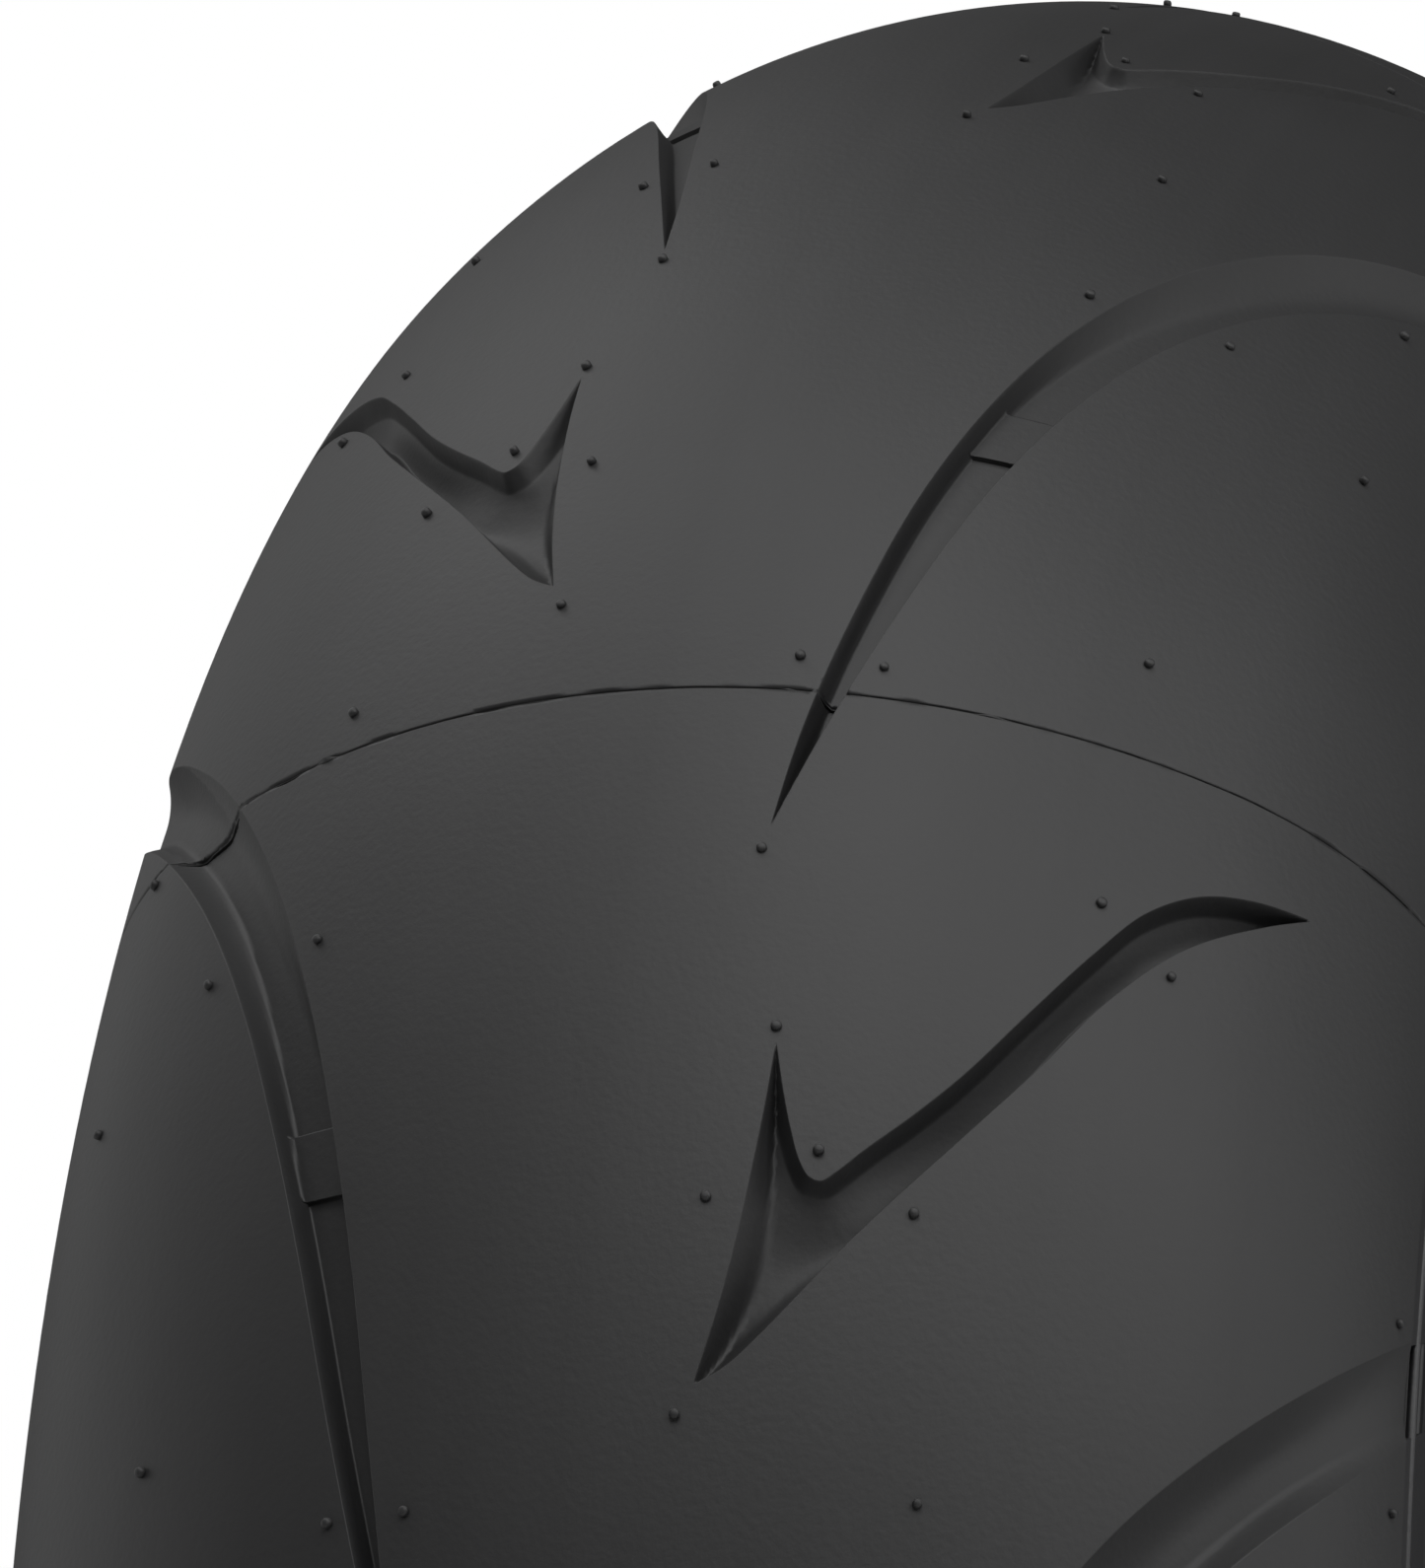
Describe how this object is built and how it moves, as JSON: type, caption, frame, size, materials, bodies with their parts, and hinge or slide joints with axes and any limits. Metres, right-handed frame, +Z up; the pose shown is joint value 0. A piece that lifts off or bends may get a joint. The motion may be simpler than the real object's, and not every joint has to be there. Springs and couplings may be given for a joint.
{
  "type": "motorcycle tire",
  "caption": "Tubeless radial rear tire for a motorcycle: rounded tread with swept grooves and check-shaped sipes, short sidewalls and beads for a 17 inch rim.",
  "frame": {"origin": "centre of the wheel, on the wheel's axis and in the tyre's middle plane", "axes": "+Y along the wheel's axis, +X towards the tread that faces backwards in the picture, +Z up"},
  "size_m": [0.622, 0.1868, 0.622],
  "materials": {
    "tread_rubber": "satin moulded rubber",
    "sidewall_rubber": "satin moulded rubber",
    "base_rubber": "matte",
    "liner_rubber": "semi-gloss moulded butyl",
    "ply_cord": "rubbered cord",
    "steel_cord": "brass plated cord in rubber",
    "bead_steel": "bronze plated wire"
  },
  "bodies": {
    "root": {"tread_cap": "tread_rubber", "undertread": "base_rubber", "steel_belt": "steel_cord", "breaker_ply_outer": "ply_cord", "breaker_ply_inner": "ply_cord", "carcass_ply_outer": "ply_cord", "carcass_ply_inner": "ply_cord", "inner_liner": "liner_rubber", "belt_edge_strip_right": "base_rubber", "bead_core_right": "bead_steel", "bead_wrap_right": "ply_cord", "bead_filler_right": "base_rubber", "chafer_right": "ply_cord", "rim_cushion_right": "sidewall_rubber", "sidewall_right": "sidewall_rubber", "belt_edge_strip_left": "base_rubber", "bead_core_left": "bead_steel", "bead_wrap_left": "ply_cord", "bead_filler_left": "base_rubber", "chafer_left": "ply_cord", "rim_cushion_left": "sidewall_rubber", "sidewall_left": "sidewall_rubber", "vent_spews": "tread_rubber", "mould_flash": "tread_rubber"}
  },
  "joints": []
}
